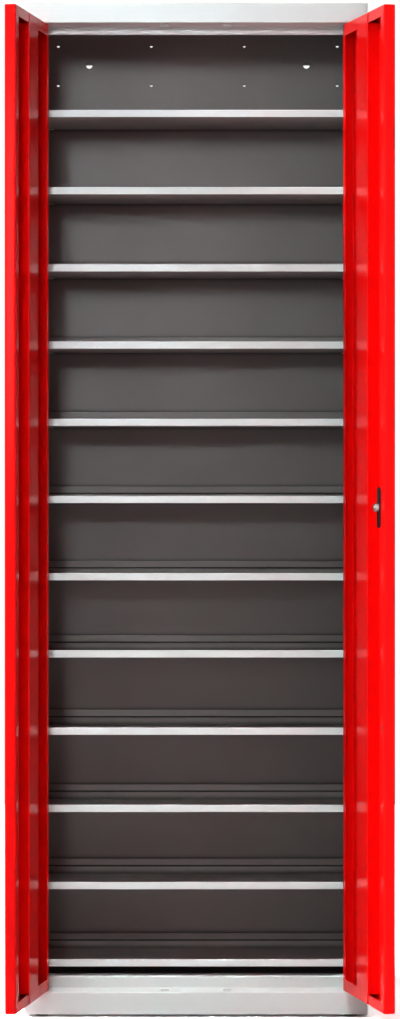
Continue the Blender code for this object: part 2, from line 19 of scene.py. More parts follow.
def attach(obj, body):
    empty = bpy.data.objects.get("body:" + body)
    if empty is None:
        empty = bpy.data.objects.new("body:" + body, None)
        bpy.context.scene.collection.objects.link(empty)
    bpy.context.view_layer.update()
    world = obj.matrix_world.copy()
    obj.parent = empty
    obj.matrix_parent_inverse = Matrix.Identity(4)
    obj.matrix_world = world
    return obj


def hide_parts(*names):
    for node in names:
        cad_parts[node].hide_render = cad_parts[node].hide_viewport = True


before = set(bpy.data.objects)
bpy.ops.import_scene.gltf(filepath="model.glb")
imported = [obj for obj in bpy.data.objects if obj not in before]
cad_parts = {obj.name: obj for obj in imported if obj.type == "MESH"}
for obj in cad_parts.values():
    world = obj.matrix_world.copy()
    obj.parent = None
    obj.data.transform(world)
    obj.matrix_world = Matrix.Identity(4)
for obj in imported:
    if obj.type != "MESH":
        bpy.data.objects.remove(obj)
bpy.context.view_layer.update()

LOG = logging.getLogger("cabinet")

Point = tuple[float, float]
Place = tuple[float, float, float]
Colour = tuple[float, float, float]
Span = Sequence[float]
Mesh = bpy.types.Mesh
Socket = bpy.types.NodeSocket
Step = tuple[str, Mesh]

# Rounding and joining of shapes
BEND_STEPS = 6
ROUND_STEPS = 48
HEXAGON = 6
ROUND_PROFILE = 0.5
# Share of a chamfer at which its middle point lies, so that the corner reads as round
CORNER_BULGE = 0.3
CUT_EDGES: Span = (0.0003, 0.0003)
SOFT_EDGE = 0.0002
SOFT_STEPS = 2
SOFT_ANGLE = math.radians(50)
SHARP_ANGLE = math.radians(32)
SAME_POINT = 1e-7
SEAM_GAP = 1e-6
# Turns what stands along Z to lie along Y
ALONG_Y = Matrix.Rotation(-math.pi / 2, 4, "X")

# Finishes and light
EVEN: Place = (1.0, 1.0, 1.0)
TURNING_LINES: Place = (1.0, 0.15, 0.15)
NOISE_RANGE: Span = (0.3, 0.7)
# Painted shade in crevices: the span of nearness over which it fades in, and its samples
PAINTED_SHADE_RANGE: Span = (0.45, 0.9)
PAINTED_SHADE_SAMPLES = 8
FULL_RANGE: Span = (0.0, 1.0)
# Lamps with a narrower spread than this, in degrees, stay out of reflections
MIRRORED_SPREAD = 90.0
PLAIN_LIGHT: Colour = (1.0, 1.0, 1.0)
COOL_LIGHT: Colour = (0.88, 1.0, 1.04)
KEY_LIGHT: Colour = (0.87, 1.0, 1.0)


class Axis(Enum):
    """The three axes of the frame."""

    X = (1, 0, 0)
    Y = (0, 1, 0)
    Z = (0, 0, 1)


class Side(Enum):
    """The two sides of the cabinet, seen from the front, with their sign on X."""

    LEFT = -1
    RIGHT = 1

    @property
    def word(self) -> str:
        """The side's name as it stands in the names of pieces."""
        return self.name.lower()


class Slot(Enum):
    """The record's material slots."""

    GREY = "grey_paint"
    DARK = "dark_paint"
    RED = "red_paint"
    PLASTIC = "black_plastic"
    BLACK = "black_steel"
    ZINC = "zinc_steel"


DOOR_OPENED: dict[Side, float] = {Side.LEFT: 98.4, Side.RIGHT: 102.6}


@dataclass(frozen=True)
class Grain:
    """A noise pattern: features per metre, octaves of finer noise and factors that draw it out."""

    scale: float
    detail: float
    stretch: Place = EVEN


@dataclass(frozen=True)
class Relief:
    """A bumped skin: size of its features, octaves of finer ones, depth and factors that draw it out."""

    size: float
    detail: float
    depth: float
    stretch: Place = EVEN

    @property
    def grain(self) -> Grain:
        """The skin's noise."""
        return Grain(1 / self.size, self.detail, self.stretch)


class NodeBench:
    """A node tree with short ways to add nodes and to join them."""

    def __init__(self, tree: bpy.types.NodeTree) -> None:
        """Start from an empty tree.

        Args:
            tree: the node tree of a material or a world.
        """
        self.tree = tree
        self.tree.nodes.clear()

    def add(self, kind: str, **settings: object) -> bpy.types.Node:
        """Add a node.

        Args:
            kind: the node's type.
            settings: properties to set on it.

        Returns:
            The new node.
        """
        node = self.tree.nodes.new(kind)
        for name, value in settings.items():
            setattr(node, name, value)
        return node

    def join(self, source: Socket, target: Socket) -> None:
        """Link an output to an input."""
        self.tree.links.new(source, target)

    def noise(self, grain: Grain) -> Socket:
        """Noise in the object's own coordinates.

        Args:
            grain: the noise's pattern.

        Returns:
            The noise value's socket.
        """
        noise = self.add("ShaderNodeTexNoise")
        noise.inputs["Scale"].default_value = grain.scale
        noise.inputs["Detail"].default_value = grain.detail
        source = self.add("ShaderNodeTexCoord").outputs["Object"]
        if grain.stretch != EVEN:
            mapping = self.add("ShaderNodeMapping")
            mapping.inputs["Scale"].default_value = grain.stretch
            self.join(source, mapping.inputs["Vector"])
            source = mapping.outputs["Vector"]
        self.join(source, noise.inputs["Vector"])
        return noise.outputs["Fac"]

    def between(self, value: Socket, low: float, high: float, source: Span = NOISE_RANGE) -> Socket:
        """A value spread between two numbers.

        Args:
            value: the value, for example of a noise.
            low: the result where the value is low.
            high: the result where the value is high.
            source: the low and the high value.

        Returns:
            The spread value's socket.
        """
        spread = self.add("ShaderNodeMapRange")
        sockets = ("From Min", "From Max", "To Min", "To Max")
        for name, number in zip(sockets, (*source, low, high)):
            spread.inputs[name].default_value = number
        self.join(value, spread.inputs["Value"])
        return spread.outputs["Result"]

    def combine(self, operation: str, first: Socket, second: Socket) -> Socket:
        """One value from two.

        Args:
            operation: the mathematical operation.
            first: the first value.
            second: the second value.

        Returns:
            The result's socket.
        """
        node = self.add("ShaderNodeMath", operation=operation)
        self.join(first, node.inputs[0])
        self.join(second, node.inputs[1])
        return node.outputs[0]

    def blend(self, factor: Socket, low: Colour, high: Union[Colour, Socket]) -> Socket:
        """A colour between two others.

        Args:
            factor: zero for the low colour and one for the high one.
            low: the low colour.
            high: the high colour, fixed or from a socket.

        Returns:
            The colour's socket.
        """
        mix = self.add("ShaderNodeMix", data_type="RGBA")
        colours = [socket for socket in mix.inputs if socket.type == "RGBA"]
        colours[0].default_value = (*low, 1.0)
        if isinstance(high, Socket):
            self.join(high, colours[1])
        else:
            colours[1].default_value = (*high, 1.0)
        self.join(factor, mix.inputs["Factor"])
        return next(socket for socket in mix.outputs if socket.type == "RGBA")

    def painted_crevice_shade(self, colour: Socket, reach: float, deep: Colour) -> Socket:
        """A colour with painted shade, which turns dark where faces lie close together and shade would
        fall.

        Args:
            colour: the colour on open faces.
            reach: how far a face looks for others, in metres.
            deep: the colour of the painted shade in narrow places.

        Returns:
            The colour's socket.
        """
        nearness = self.add("ShaderNodeAmbientOcclusion", samples=PAINTED_SHADE_SAMPLES)
        nearness.inputs["Distance"].default_value = reach
        # Painted shade: darker where the ambient occlusion finds faces nearby
        return self.blend(self.between(nearness.outputs["AO"], *FULL_RANGE, PAINTED_SHADE_RANGE), deep, colour)

    def seen_directly(self) -> Socket:
        """One for rays from the camera, a mirror or glass, and zero for rays that gather light.

        Returns:
            The value's socket.
        """
        path = self.add("ShaderNodeLightPath")
        value = path.outputs["Is Camera Ray"]
        for kind in ("Is Glossy Ray", "Is Transmission Ray"):
            value = self.combine("MAXIMUM", value, path.outputs[kind])
        return value

    def bumped(self, relief: Relief, under: Optional[Socket]) -> Socket:
        """A normal that is bumped by a noise.

        Args:
            relief: the skin, with its lengths in metres.
            under: a normal from a coarser relief.

        Returns:
            The normal's socket.
        """
        bump = self.add("ShaderNodeBump")
        bump.inputs["Strength"].default_value = 1.0
        bump.inputs["Distance"].default_value = relief.depth
        self.join(self.noise(relief.grain), bump.inputs["Height"])
        if under:
            self.join(under, bump.inputs["Normal"])
        return bump.outputs["Normal"]


@dataclass(frozen=True)
class Finish:
    """What every finish has: colour and gloss that drift slowly over a bumped skin."""

    slot: Slot
    colours: tuple[Colour, Colour]
    roughness: Span
    skin: tuple[Relief, ...]
    label: str = "coat"
    clouds: Grain = Grain(5.0, 3.0)
    patches: Grain = Grain(38.0, 4.0)
    sheen_level: float = 0.5
    metallic: float = 0.0
    # Reach and strength of painted shade in crevices; there is none where the reach is zero
    painted_shade_reach: float = 0.0
    painted_shade_share: float = 0.1

    def material(self) -> bpy.types.Material:
        """Build the finish's material.

        Returns:
            The material.
        """
        material, bench, shader = new_surface(f"{self.slot.value}_{self.label}")
        colour = bench.blend(bench.between(bench.noise(self.clouds), *FULL_RANGE), *self.colours)
        # Painted shade: the colour darkens where faces lie close together
        if self.painted_shade_reach:
            shade = tuple(value * self.painted_shade_share for value in self.colours[0])
            colour = bench.painted_crevice_shade(colour, self.painted_shade_reach, shade)
        bench.join(colour, shader.inputs["Base Color"])
        bench.join(bench.between(bench.noise(self.patches), *self.roughness), shader.inputs["Roughness"])
        normal = None
        for relief in self.skin:
            normal = bench.bumped(relief, normal)
        bench.join(normal, shader.inputs["Normal"])
        shader.inputs["Specular IOR Level"].default_value = self.sheen_level
        shader.inputs["Metallic"].default_value = self.metallic
        return material


@dataclass(frozen=True)
class PowderCoat(Finish):
    """Baked paint with a rippled skin and fine grain, for which the shared values are set."""


@dataclass(frozen=True)
class PlatedSteel(Finish):
    """Bare or plated steel with fine turning lines."""

    label: str = "plate"
    clouds: Grain = Grain(160.0, 3.0)
    patches: Grain = Grain(420.0, 3.0)
    metallic: float = 1.0


@dataclass(frozen=True)
class MouldedPlastic(Finish):
    """Dull moulded plastic with a spark-eroded skin."""

    label: str = "moulding"
    clouds: Grain = Grain(90.0, 3.0)
    patches: Grain = Grain(240.0, 2.0)
    sheen_level: float = 0.15


def drifted(colour: Colour, drift: float) -> tuple[Colour, Colour]:
    """A colour made deeper and paler by a share."""
    return tuple(tuple(value * (1 + share) for value in colour) for share in (-drift, drift))


GREY_COAT = PowderCoat(
    Slot.GREY,
    colours=drifted((0.745, 0.765, 0.76), 0.015),
    roughness=(0.35, 0.45),
    skin=(Relief(0.0022, 1.0, 0.00002), Relief(0.0005, 2.0, 0.000006)),
)
DARK_COAT = PowderCoat(
    Slot.DARK,
    colours=drifted((0.245, 0.212, 0.204), 0.05),
    roughness=(0.44, 0.56),
    skin=(Relief(0.0016, 1.0, 0.00004), Relief(0.0004, 2.0, 0.000015)),
    sheen_level=0.3,
    # Painted shade in the dark paint's crevices, such as beside the trays' hems and in corners; the trays'
    # coat keeps it
    painted_shade_reach=0.012,
)
TRAY_COAT = replace(DARK_COAT, colours=drifted((0.315, 0.277, 0.267), 0.05), label="tray_coat")
RED_COAT = PowderCoat(
    Slot.RED,
    colours=drifted((0.80, 0.002, 0.002), 0.02),
    roughness=(0.13, 0.19),
    skin=(Relief(0.0025, 1.0, 0.000012), Relief(0.0006, 2.0, 0.000003)),
    sheen_level=0.08,
)
BLACK_OXIDE = PlatedSteel(
    Slot.BLACK,
    colours=((0.03, 0.03, 0.032), (0.06, 0.058, 0.055)),
    roughness=(0.34, 0.50),
    skin=(Relief(0.0005, 2.0, 0.00001, TURNING_LINES),),
)
ZINC_PLATE = PlatedSteel(
    Slot.ZINC,
    colours=((0.66, 0.66, 0.63), (0.56, 0.56, 0.56)),
    roughness=(0.21, 0.35),
    skin=(Relief(0.0004, 2.0, 0.00001, TURNING_LINES),),
)
FOOT_PLASTIC = MouldedPlastic(
    Slot.PLASTIC,
    colours=((0.010, 0.010, 0.011), (0.018, 0.018, 0.018)),
    roughness=(0.52, 0.68),
    skin=(Relief(0.0008, 3.0, 0.00003),),
)


Surface = tuple[bpy.types.Material, NodeBench, bpy.types.Node]


def new_surface(name: str, kind: str = "ShaderNodeBsdfPrincipled") -> Surface:
    """Start a material with one shader joined to its output.

    Args:
        name: the material's name.
        kind: the shader's type.

    Returns:
        The material, its bench and its shader.
    """
    material = bpy.data.materials.new(name)
    material.use_nodes = True
    bench = NodeBench(material.node_tree)
    shader = bench.add(kind)
    output = bench.add("ShaderNodeOutputMaterial")
    bench.join(shader.outputs[0], output.inputs["Surface"])
    return material, bench, shader


class PaintShop:
    """Keeps one material for each finish."""

    def __init__(self) -> None:
        """Start with no paint mixed."""
        self._mixed: dict[Finish, bpy.types.Material] = {}

    def coat(self, finish: Finish) -> bpy.types.Material:
        """The material of a finish, built once.

        Args:
            finish: the finish.

        Returns:
            Its material.
        """
        if finish not in self._mixed:
            self._mixed[finish] = finish.material()
        return self._mixed[finish]


PAINT_SHOP = PaintShop()


def mesh_of(bm: bmesh.types.BMesh) -> Mesh:
    """Turn a bmesh into a mesh whose faces point out.

    Args:
        bm: the bmesh, which is freed.

    Returns:
        The mesh.
    """
    bmesh.ops.recalc_face_normals(bm, faces=bm.faces)
    mesh = bpy.data.meshes.new("shape")
    bm.to_mesh(mesh)
    bm.free()
    return mesh


def fold(path: Sequence[Point], thickness: float, bend: Union[float, Span]) -> list[Point]:
    """Outline a sheet that is bent along a path, with round bends.

    Args:
        path: corners of one face of the sheet.
        thickness: the sheet's thickness to the left of the path, or to its right if negative.
        bend: the radius inside every bend, or one for each bend in turn.

    Returns:
        The closed outline.
    """
    side = math.copysign(1.0, thickness)
    sheet = abs(thickness)
    runs = [Vector(end) - Vector(start) for start, end in zip(path, path[1:])]
    runs = [run.normalized() for run in runs]
    bends = [bend] * (len(path) - 2) if isinstance(bend, float) else bend
    near: list[Vector] = [Vector(path[0])]
    far: list[Vector] = [Vector(path[0]) + thickness * Vector((-runs[0].y, runs[0].x))]
    for corner, before, after, inside in zip(path[1:-1], runs, runs[1:], bends):
        turn = math.atan2(before.x * after.y - before.y * after.x, before.dot(after))
        inward = math.copysign(1.0, turn)
        near_radius = inside + sheet if inward == side else inside
        far_radius = inside if inward == side else inside + sheet
        start = Vector(corner) - before * near_radius * math.tan(abs(turn) / 2)
        centre = start + inward * near_radius * Vector((-before.y, before.x))
        spoke = (start - centre).normalized()
        for step in range(BEND_STEPS + 1):
            arm = Matrix.Rotation(turn * step / BEND_STEPS, 2) @ spoke
            near.append(centre + near_radius * arm)
            far.append(centre + far_radius * arm)
    near.append(Vector(path[-1]))
    far.append(Vector(path[-1]) + thickness * Vector((-runs[-1].y, runs[-1].x)))
    return [(point.x, point.y) for point in near + far[::-1]]


def prism(outline: Sequence[Point], axis: Axis, low: float, high: float) -> Mesh:
    """Extrude an outline along an axis.

    Args:
        outline: points on the two other axes, in the order X, Y, Z.
        axis: the axis to extrude along.
        low: where the body starts on that axis.
        high: where it ends.

    Returns:
        The closed mesh.
    """
    spread = {
        Axis.X: lambda first, second: (low, first, second),
        Axis.Y: lambda first, second: (first, low, second),
        Axis.Z: lambda first, second: (first, second, low),
    }[axis]
    bm = bmesh.new()
    face = bm.faces.new([bm.verts.new(spread(*point)) for point in outline])
    grown = bmesh.ops.extrude_face_region(bm, geom=[face])["geom"]
    tips = [item for item in grown if isinstance(item, bmesh.types.BMVert)]
    bmesh.ops.translate(bm, verts=tips, vec=Vector(axis.value) * (high - low))
    return mesh_of(bm)


def block(across: Span, along: Span, up: Span) -> Mesh:
    """A rectangular block from its low and high values on X, Y and Z."""
    outline = [(across[0], along[0]), (across[1], along[0]), (across[1], along[1]), (across[0], along[1])]
    return prism(outline, Axis.Z, up[0], up[1])


def around(middle: float, width: float) -> Point:
    """The low and the high end of a width about its middle."""
    return middle - width / 2, middle + width / 2


def round_edges(bm: bmesh.types.BMesh, edges: list[bmesh.types.BMEdge], radius: float, steps: int) -> None:
    """Round some edges of a bmesh by a radius, in a number of steps."""
    bmesh.ops.bevel(bm, geom=edges, offset=radius, segments=steps, profile=ROUND_PROFILE, affect="EDGES")


def rounded_block(across: Span, along: Span, up: Span, upright: Span, level: float) -> Mesh:
    """A block with round edges.

    Args:
        across: low and high X.
        along: low and high Y.
        up: low and high Z.
        upright: radius of the upright edges at low X and at high X.
        level: radius of the edges at the top and the bottom.

    Returns:
        The closed mesh.
    """
    bm = bmesh.new()
    bm.from_mesh(block(across, along, up))
    middle = sum(across) / 2
    for radius, is_low in ((upright[0], True), (upright[1], False)):
        edges = [
            edge
            for edge in bm.edges
            if abs(edge.verts[0].co.z - edge.verts[1].co.z) > 0.5 * (up[1] - up[0])
            and (edge.verts[0].co.x < middle) == is_low
        ]
        round_edges(bm, edges, radius, BEND_STEPS)
    rims = [
        edge
        for edge in bm.edges
        for end in up
        if all(abs(vert.co.z - end) < SAME_POINT for vert in edge.verts)
    ]
    round_edges(bm, rims, level, BEND_STEPS // 2)
    return mesh_of(bm)


def turned(profile: Sequence[Point], turn: Optional[Matrix] = None) -> Mesh:
    """Turn a profile round Z.

    Args:
        profile: points of radius and height; the ends lie on the axis, or the profile closes on itself.
        turn: a matrix that places the result.

    Returns:
        The closed mesh.
    """
    bm = bmesh.new()
    points = [bm.verts.new((radius, 0.0, height)) for radius, height in profile]
    edges = [bm.edges.new(pair) for pair in zip(points, points[1:])]
    bmesh.ops.spin(
        bm,
        geom=points + edges,
        cent=(0, 0, 0),
        axis=Axis.Z.value,
        angle=2 * math.pi,
        steps=ROUND_STEPS,
        use_merge=True,
    )
    bmesh.ops.remove_doubles(bm, verts=bm.verts, dist=SAME_POINT)
    if turn:
        bmesh.ops.transform(bm, matrix=turn, verts=bm.verts)
    return mesh_of(bm)


def drum(radius: float, low: float, high: float, turn: Optional[Matrix] = None) -> Mesh:
    """A plain round bar between two heights, as a tool for holes."""
    return turned([(0, low), (radius, low), (radius, high), (0, high)], turn)


def polygon(radius: float, corners: int) -> list[Point]:
    """The corners of a regular polygon round the origin."""
    turns = [2 * math.pi * corner / corners for corner in range(corners)]
    return [(radius * math.cos(turn), radius * math.sin(turn)) for turn in turns]


def joined(meshes: Iterable[Mesh]) -> Mesh:
    """Several closed meshes as one mesh of separate bodies.

    Args:
        meshes: the meshes.

    Returns:
        The one mesh.
    """
    bm = bmesh.new()
    for mesh in meshes:
        bm.from_mesh(mesh)
    return mesh_of(bm)


def placed(name: str, data: bpy.types.ID) -> bpy.types.Object:
    """A new object in the scene.

    Args:
        name: the object's name.
        data: its mesh, lamp or camera.

    Returns:
        The object.
    """
    holder = bpy.data.objects.new(name, data)
    bpy.context.scene.collection.objects.link(holder)
    return holder


def shaped(base: Mesh, *steps: Step) -> Mesh:
    """Apply Boolean steps to a mesh.

    Args:
        base: the mesh to start from.
        steps: pairs of an operation and a tool mesh.

    Returns:
        The resulting mesh.
    """
    holder = placed("holder", base)
    tools = [placed("tool", tool_mesh) for _, tool_mesh in steps]
    for (operation, _), tool in zip(steps, tools):
        modifier = holder.modifiers.new(operation.lower(), "BOOLEAN")
        modifier.operation = operation
        modifier.object = tool
    bpy.context.view_layer.update()
    graph = bpy.context.evaluated_depsgraph_get()
    mesh = bpy.data.meshes.new_from_object(holder.evaluated_get(graph))
    for helper in [holder, *tools]:
        bpy.data.objects.remove(helper, do_unlink=True)
    return mesh


def soften(piece: bpy.types.Object, radius: float) -> bpy.types.Modifier:
    """Take the sharpness off the edges that a piece still has.

    Args:
        piece: the object.
        radius: how far the edges are taken back.

    Returns:
        The modifier that does it.
    """
    bevel = piece.modifiers.new("softened_edges", "BEVEL")
    bevel.width = radius
    bevel.segments = SOFT_STEPS
    bevel.limit_method = "ANGLE"
    bevel.angle_limit = SOFT_ANGLE
    return bevel


def add_piece(
    name: str,
    mesh: Mesh,
    finish: Finish,
    body: str,
    node: Optional[str] = None,
    place: Optional[Matrix] = None,
    softened: float = 0.0,
) -> None:
    """Add a dressed piece that rides on a body.

    Args:
        name: the piece's name.
        mesh: its mesh, of which a copy is used.
        finish: its finish.
        body: the body it rides on.
        node: the solid it stands for, if any.
        place: a matrix that moves the mesh to its place.
        softened: radius that takes the sharpness off the remaining edges.
    """
    mesh = mesh.copy()
    mesh.name = name
    if place:
        mesh.transform(place)
    mesh.materials.clear()
    mesh.materials.append(PAINT_SHOP.coat(finish))
    mesh.shade_smooth()
    mesh.set_sharp_from_angle(angle=SHARP_ANGLE)
    piece = placed(name, mesh)
    if softened:
        soften(piece, softened).harden_normals = True
    normals = piece.modifiers.new("even_normals", "WEIGHTED_NORMAL")
    normals.keep_sharp = True
    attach(piece, body)
    if node:
        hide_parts(node)
    LOG.info("%s rides on %s", name, body)


def dress_node(node: str, finish: Finish, softened: float) -> None:
    """Give a solid that stays its finish and soft edges.

    Args:
        node: the solid's name.
        finish: its finish.
        softened: radius that takes the sharpness off its edges.
    """
    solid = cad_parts[node]
    solid.data.materials.clear()
    solid.data.materials.append(PAINT_SHOP.coat(finish))
    weld = solid.modifiers.new("closed_seams", "WELD")
    weld.merge_threshold = SEAM_GAP
    soften(solid, softened)
    LOG.info("%s stays and takes its finish", node)


@dataclass(frozen=True)
class BodySizes:
    """Sizes that the sub-assemblies share."""

    height: float = 1.950
    width: float = 0.660
    depth: float = 0.330
    sheet: float = 0.001
    gap: float = 0.0003
    lift: float = 0.006
    header_height: float = 0.038
    base_height: float = 0.0425
    ledge_depth: float = 0.058
    stile_width: float = 0.016
    bend: float = 0.0009

    @property
    def front(self) -> float:
        """Y of the body's front."""
        return -self.depth / 2

    @property
    def back(self) -> float:
        """Y of the body's rear."""
        return self.depth / 2

    @property
    def inside_x(self) -> float:
        """Half the clear width between the side panels."""
        return self.width / 2 - self.sheet - self.gap

    @property
    def back_panel_front(self) -> float:
        """Y of the back panel's inner face."""
        return self.back - 2 * self.sheet - self.gap

    @property
    def header_bottom(self) -> float:
        """Z of the header's underside."""
        return self.height - self.header_height

    @property
    def base_top(self) -> float:
        """Z of the base's ledge."""
        return self.lift + self.base_height

    @property
    def stile_inner(self) -> float:
        """X of the stile's inner edge on the right."""
        return self.width / 2 - self.stile_width


@dataclass
class Carcass:
    """Side panels, back, roof, header, base and floor."""

    sizes: BodySizes
    stile_return: float = 0.050
    rear_flange: float = 0.015
    header_lap: float = 0.025
    header_stop: float = 0.0165
    hem_height: float = 0.0085
    hem_depth: float = 0.004
    base_stop: float = 0.0215
    sill_depth: float = 0.047
    sill_flange: float = 0.012
    roof_flange: float = 0.020
    floor_edge: float = 0.0003
    small_hole_radius: float = 0.003
    small_hole_spacing: float = 0.1875
    small_holes_per_row: int = 4
    small_hole_drop: float = 0.043
    small_hole_row_step: float = 0.079
    small_hole_rows: int = 2
    wall_hole_radius: float = 0.0065
    wall_hole_offset: float = 0.219
    wall_hole_drop: float = 0.082
    strap_height: float = 0.018
    strap_thickness: float = 0.001
    strap_margin: float = 0.004
    stop_offset: float = 0.060
    stop_width: float = 0.017
    stop_depth: float = 0.0115
    stop_height: float = 0.003
    stop_setback: float = 0.0225
    stop_edge: float = 0.0008
    body: str = "carcass"

    def build(self) -> None:
        """Build and dress every piece of the carcass."""
        for side in Side:
            self.build_side(side)
        self.build_back()
        self.build_header()
        self.build_roof()
        self.build_base()
        self.build_floor()
        self.build_stops()

    def build_side(self, side: Side) -> None:
        """One outer sheet, folded into a stile at the front and a flange at the rear.

        Args:
            side: the side of the cabinet.
        """
        s = self.sizes
        sign = side.value
        outer, inner = sign * s.width / 2, sign * s.stile_inner
        path = [
            (inner, s.front + self.stile_return),
            (inner, s.front),
            (outer, s.front),
            (outer, s.back),
            (outer - sign * self.rear_flange, s.back),
        ]
        sheet = prism(fold(path, sign * s.sheet, s.bend), Axis.Z, s.lift, s.height)
        across = sorted((outer - sign * (s.sheet + s.gap), inner - sign * s.stile_width))
        along = (s.front - s.stile_width, s.front + self.stile_return + s.stile_width)
        notches = joined(
            block(across, along, up)
            for up in ((0.0, s.base_top + s.gap), (s.header_bottom - s.gap, s.height + s.lift))
        )
        mesh = shaped(sheet, ("DIFFERENCE", notches))
        name = f"side_panel_{side.word}"
        add_piece(name + "_sheet", mesh, GREY_COAT, self.body, name)

    def build_back(self) -> None:
        """The dark rear sheet with its small holes and wall holes."""
        s = self.sizes
        front = s.back_panel_front
        up = (s.lift, s.height - s.sheet - s.gap)
        sheet = block((-s.inside_x, s.inside_x), (front, front + s.sheet), up)
        middle = (self.small_holes_per_row - 1) / 2
        holes = [
            (self.wall_hole_radius, side.value * self.wall_hole_offset, s.height - self.wall_hole_drop)
            for side in Side
        ]
        for row in range(self.small_hole_rows):
            level = s.height - self.small_hole_drop - self.small_hole_row_step * row
            for column in range(self.small_holes_per_row):
                holes.append((self.small_hole_radius, self.small_hole_spacing * (column - middle), level))
        drills = joined(
            drum(radius, -3 * s.sheet, 3 * s.sheet, Matrix.Translation((across, front, level)) @ ALONG_Y)
            for radius, across, level in holes
        )
        mesh = shaped(sheet, ("DIFFERENCE", drills))
        add_piece("back_panel_sheet", mesh, DARK_COAT, self.body, "back_panel")
        self.build_straps(sorted({level for _, _, level in holes}))

    def build_straps(self, levels: Span) -> None:
        """Flat straps welded behind the rear sheet, each from the middle of a row of holes upwards.

        Args:
            levels: heights of the rows of holes.
        """
        s = self.sizes
        rear = s.back_panel_front + s.sheet
        across = s.width / 2 - self.rear_flange - self.strap_margin
        for number, level in enumerate(levels, start=1):
            along, up = (rear, rear + self.strap_thickness), (level, level + self.strap_height)
            mesh = rounded_block((-across, across), along, up, CUT_EDGES, SOFT_EDGE)
            add_piece(f"rear_strap_{number:02d}", mesh, DARK_COAT, self.body)

    def build_rail(self, name: str, path: Sequence[Point], thickness: float) -> None:
        """Fold a rail that reaches from side to side, and dress it.

        Args:
            name: the rail's solid.
            path: corners of one face of its sheet, on Y and Z.
            thickness: the sheet's thickness to the left of the path, or to its right if negative.
        """
        s = self.sizes
        mesh = prism(fold(path, thickness, s.bend), Axis.X, -s.inside_x, s.inside_x)
        add_piece(name + "_sheet", mesh, GREY_COAT, self.body, name, softened=SOFT_EDGE)

    def build_header(self) -> None:
        """The header: fascia, ledge and a stop strip with a forward hem."""
        s = self.sizes
        stop = s.front + s.ledge_depth
        stop_bottom = s.header_bottom - self.header_stop
        path = [
            (s.front + self.header_lap, s.height),
            (s.front, s.height),
            (s.front, s.header_bottom),
            (stop, s.header_bottom),
            (stop, stop_bottom + s.sheet),
            (stop - self.hem_depth, stop_bottom + s.sheet),
            (stop - self.hem_depth, stop_bottom + self.hem_height),
        ]
        self.build_rail("header_rail", path, s.sheet)

    def build_roof(self) -> None:
        """The roof sheet with a skirt along each side."""
        s = self.sizes
        top = s.height - s.sheet - s.gap
        skirt = top - self.roof_flange
        path = [(-s.inside_x, skirt), (-s.inside_x, top), (s.inside_x, top), (s.inside_x, skirt)]
        outline = fold(path, -s.sheet, s.bend)
        mesh = prism(outline, Axis.Y, s.front + s.sheet + s.gap, s.back_panel_front - s.gap)
        add_piece("roof_panel_sheet", mesh, GREY_COAT, self.body, "roof_panel", softened=SOFT_EDGE)

    def build_base(self) -> None:
        """The base: fascia, ledge, riser and sill."""
        s = self.sizes
        riser = s.front + s.ledge_depth
        sill_top = s.base_top + self.base_stop
        path = [
            (s.front, s.lift),
            (s.front, s.base_top),
            (riser, s.base_top),
            (riser, sill_top),
            (riser + self.sill_depth, sill_top),
            (riser + self.sill_depth, sill_top - self.sill_flange),
        ]
        self.build_rail("base_rail", path, -s.sheet)

    def build_floor(self) -> None:
        """Dress the floor sheet, whose solid has the right shape."""
        dress_node("floor_panel", DARK_COAT, self.floor_edge)

    def build_stops(self) -> None:
        """Low pads behind the closed doors, on the base's ledge and under the header."""
        s = self.sizes
        along = (s.front + self.stop_setback, s.front + self.stop_setback + self.stop_depth)
        heights = {
            "lower": (s.base_top + s.gap, s.base_top + s.gap + self.stop_height),
            "upper": (s.header_bottom - s.gap - self.stop_height, s.header_bottom - s.gap),
        }
        for end, up in heights.items():
            for side in Side:
                name = f"door_stop_{end}_{side.word}"
                mesh = block(around(side.value * self.stop_offset, self.stop_width), along, up)
                add_piece(name + "_pad", mesh, GREY_COAT, self.body, name, softened=self.stop_edge)


@dataclass
class Uprights:
    """Four channels on the side panels, each with a tab lanced out under every shelf."""

    sizes: BodySizes
    levels: list[float]
    trim_front: float
    width: float = 0.025
    depth: float = 0.0235
    inset: float = 0.010
    tab_length: float = 0.016
    tab_width: float = 0.014
    tab_thickness: float = 0.0015
    sill_top: float = 0.070
    top: float = 1.8855
    body: str = "carcass"

    def build(self) -> None:
        """Build and dress the four channels."""
        starts = {
            "front": self.trim_front + self.inset,
            "rear": self.sizes.back_panel_front - self.inset - self.width,
        }
        for end, start in starts.items():
            for side in Side:
                name = f"upright_{end}_{side.word}"
                add_piece(name + "_channel", self.channel(side, start), GREY_COAT, self.body, name)

    def channel(self, side: Side, start: float) -> Mesh:
        """One channel with its windows and tabs.

        Args:
            side: the side panel that carries it.
            start: its front edge on Y.

        Returns:
            The channel's mesh.
        """
        s = self.sizes
        sign = side.value
        wall, face = sign * s.inside_x, sign * (s.inside_x - self.depth)
        end = start + self.width
        outline = fold([(wall, start), (face, start), (face, end), (wall, end)], -sign * s.sheet, s.bend)
        channel = prism(outline, Axis.Z, self.sill_top + s.gap, self.top)
        tab_span = around(start + self.width / 2, self.tab_width)
        window_span = (tab_span[0] - s.sheet, tab_span[1] + s.sheet)
        tab_reach = sorted((face + sign * s.sheet / 2, face - sign * self.tab_length))
        window_reach = sorted((face - sign * s.sheet, face + sign * 2 * s.sheet))
        tops = [level - s.gap for level in self.levels]
        windows = joined(
            block(window_reach, window_span, (top + s.sheet, top + self.tab_length)) for top in tops
        )
        tabs = joined(block(tab_reach, tab_span, (top - self.tab_thickness, top)) for top in tops)
        return shaped(channel, ("DIFFERENCE", windows), ("UNION", tabs))


